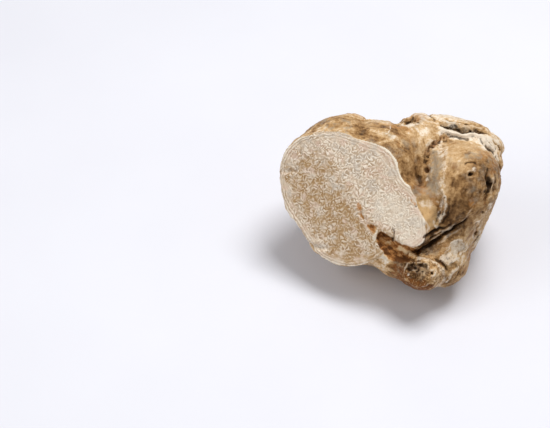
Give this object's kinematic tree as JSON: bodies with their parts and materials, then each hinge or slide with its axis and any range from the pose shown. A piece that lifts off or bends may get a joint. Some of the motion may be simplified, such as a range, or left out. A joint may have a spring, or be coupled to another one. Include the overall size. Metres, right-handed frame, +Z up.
{
  "type": "white truffle",
  "caption": "Lobed, knobbly white truffle with a flat shaved side that shows its pale marbled flesh, a split in the flesh and folds in its skin.",
  "frame": {"origin": "middle of the small flat spot of skin that the truffle lies on, on the table", "axes": "+Z up from the table; +X along the truffle's length, from the shaved end to the head; the shaved side faces -Y, upwards and a little to -X"},
  "size_m": [0.0799, 0.0629, 0.0555],
  "materials": {
    "skin_and_flesh": "dry ochre skin with a slight waxy sheen; matt pale marbled flesh where it is cut"
  },
  "bodies": {
    "root": {"truffle": "skin_and_flesh"}
  },
  "joints": []
}
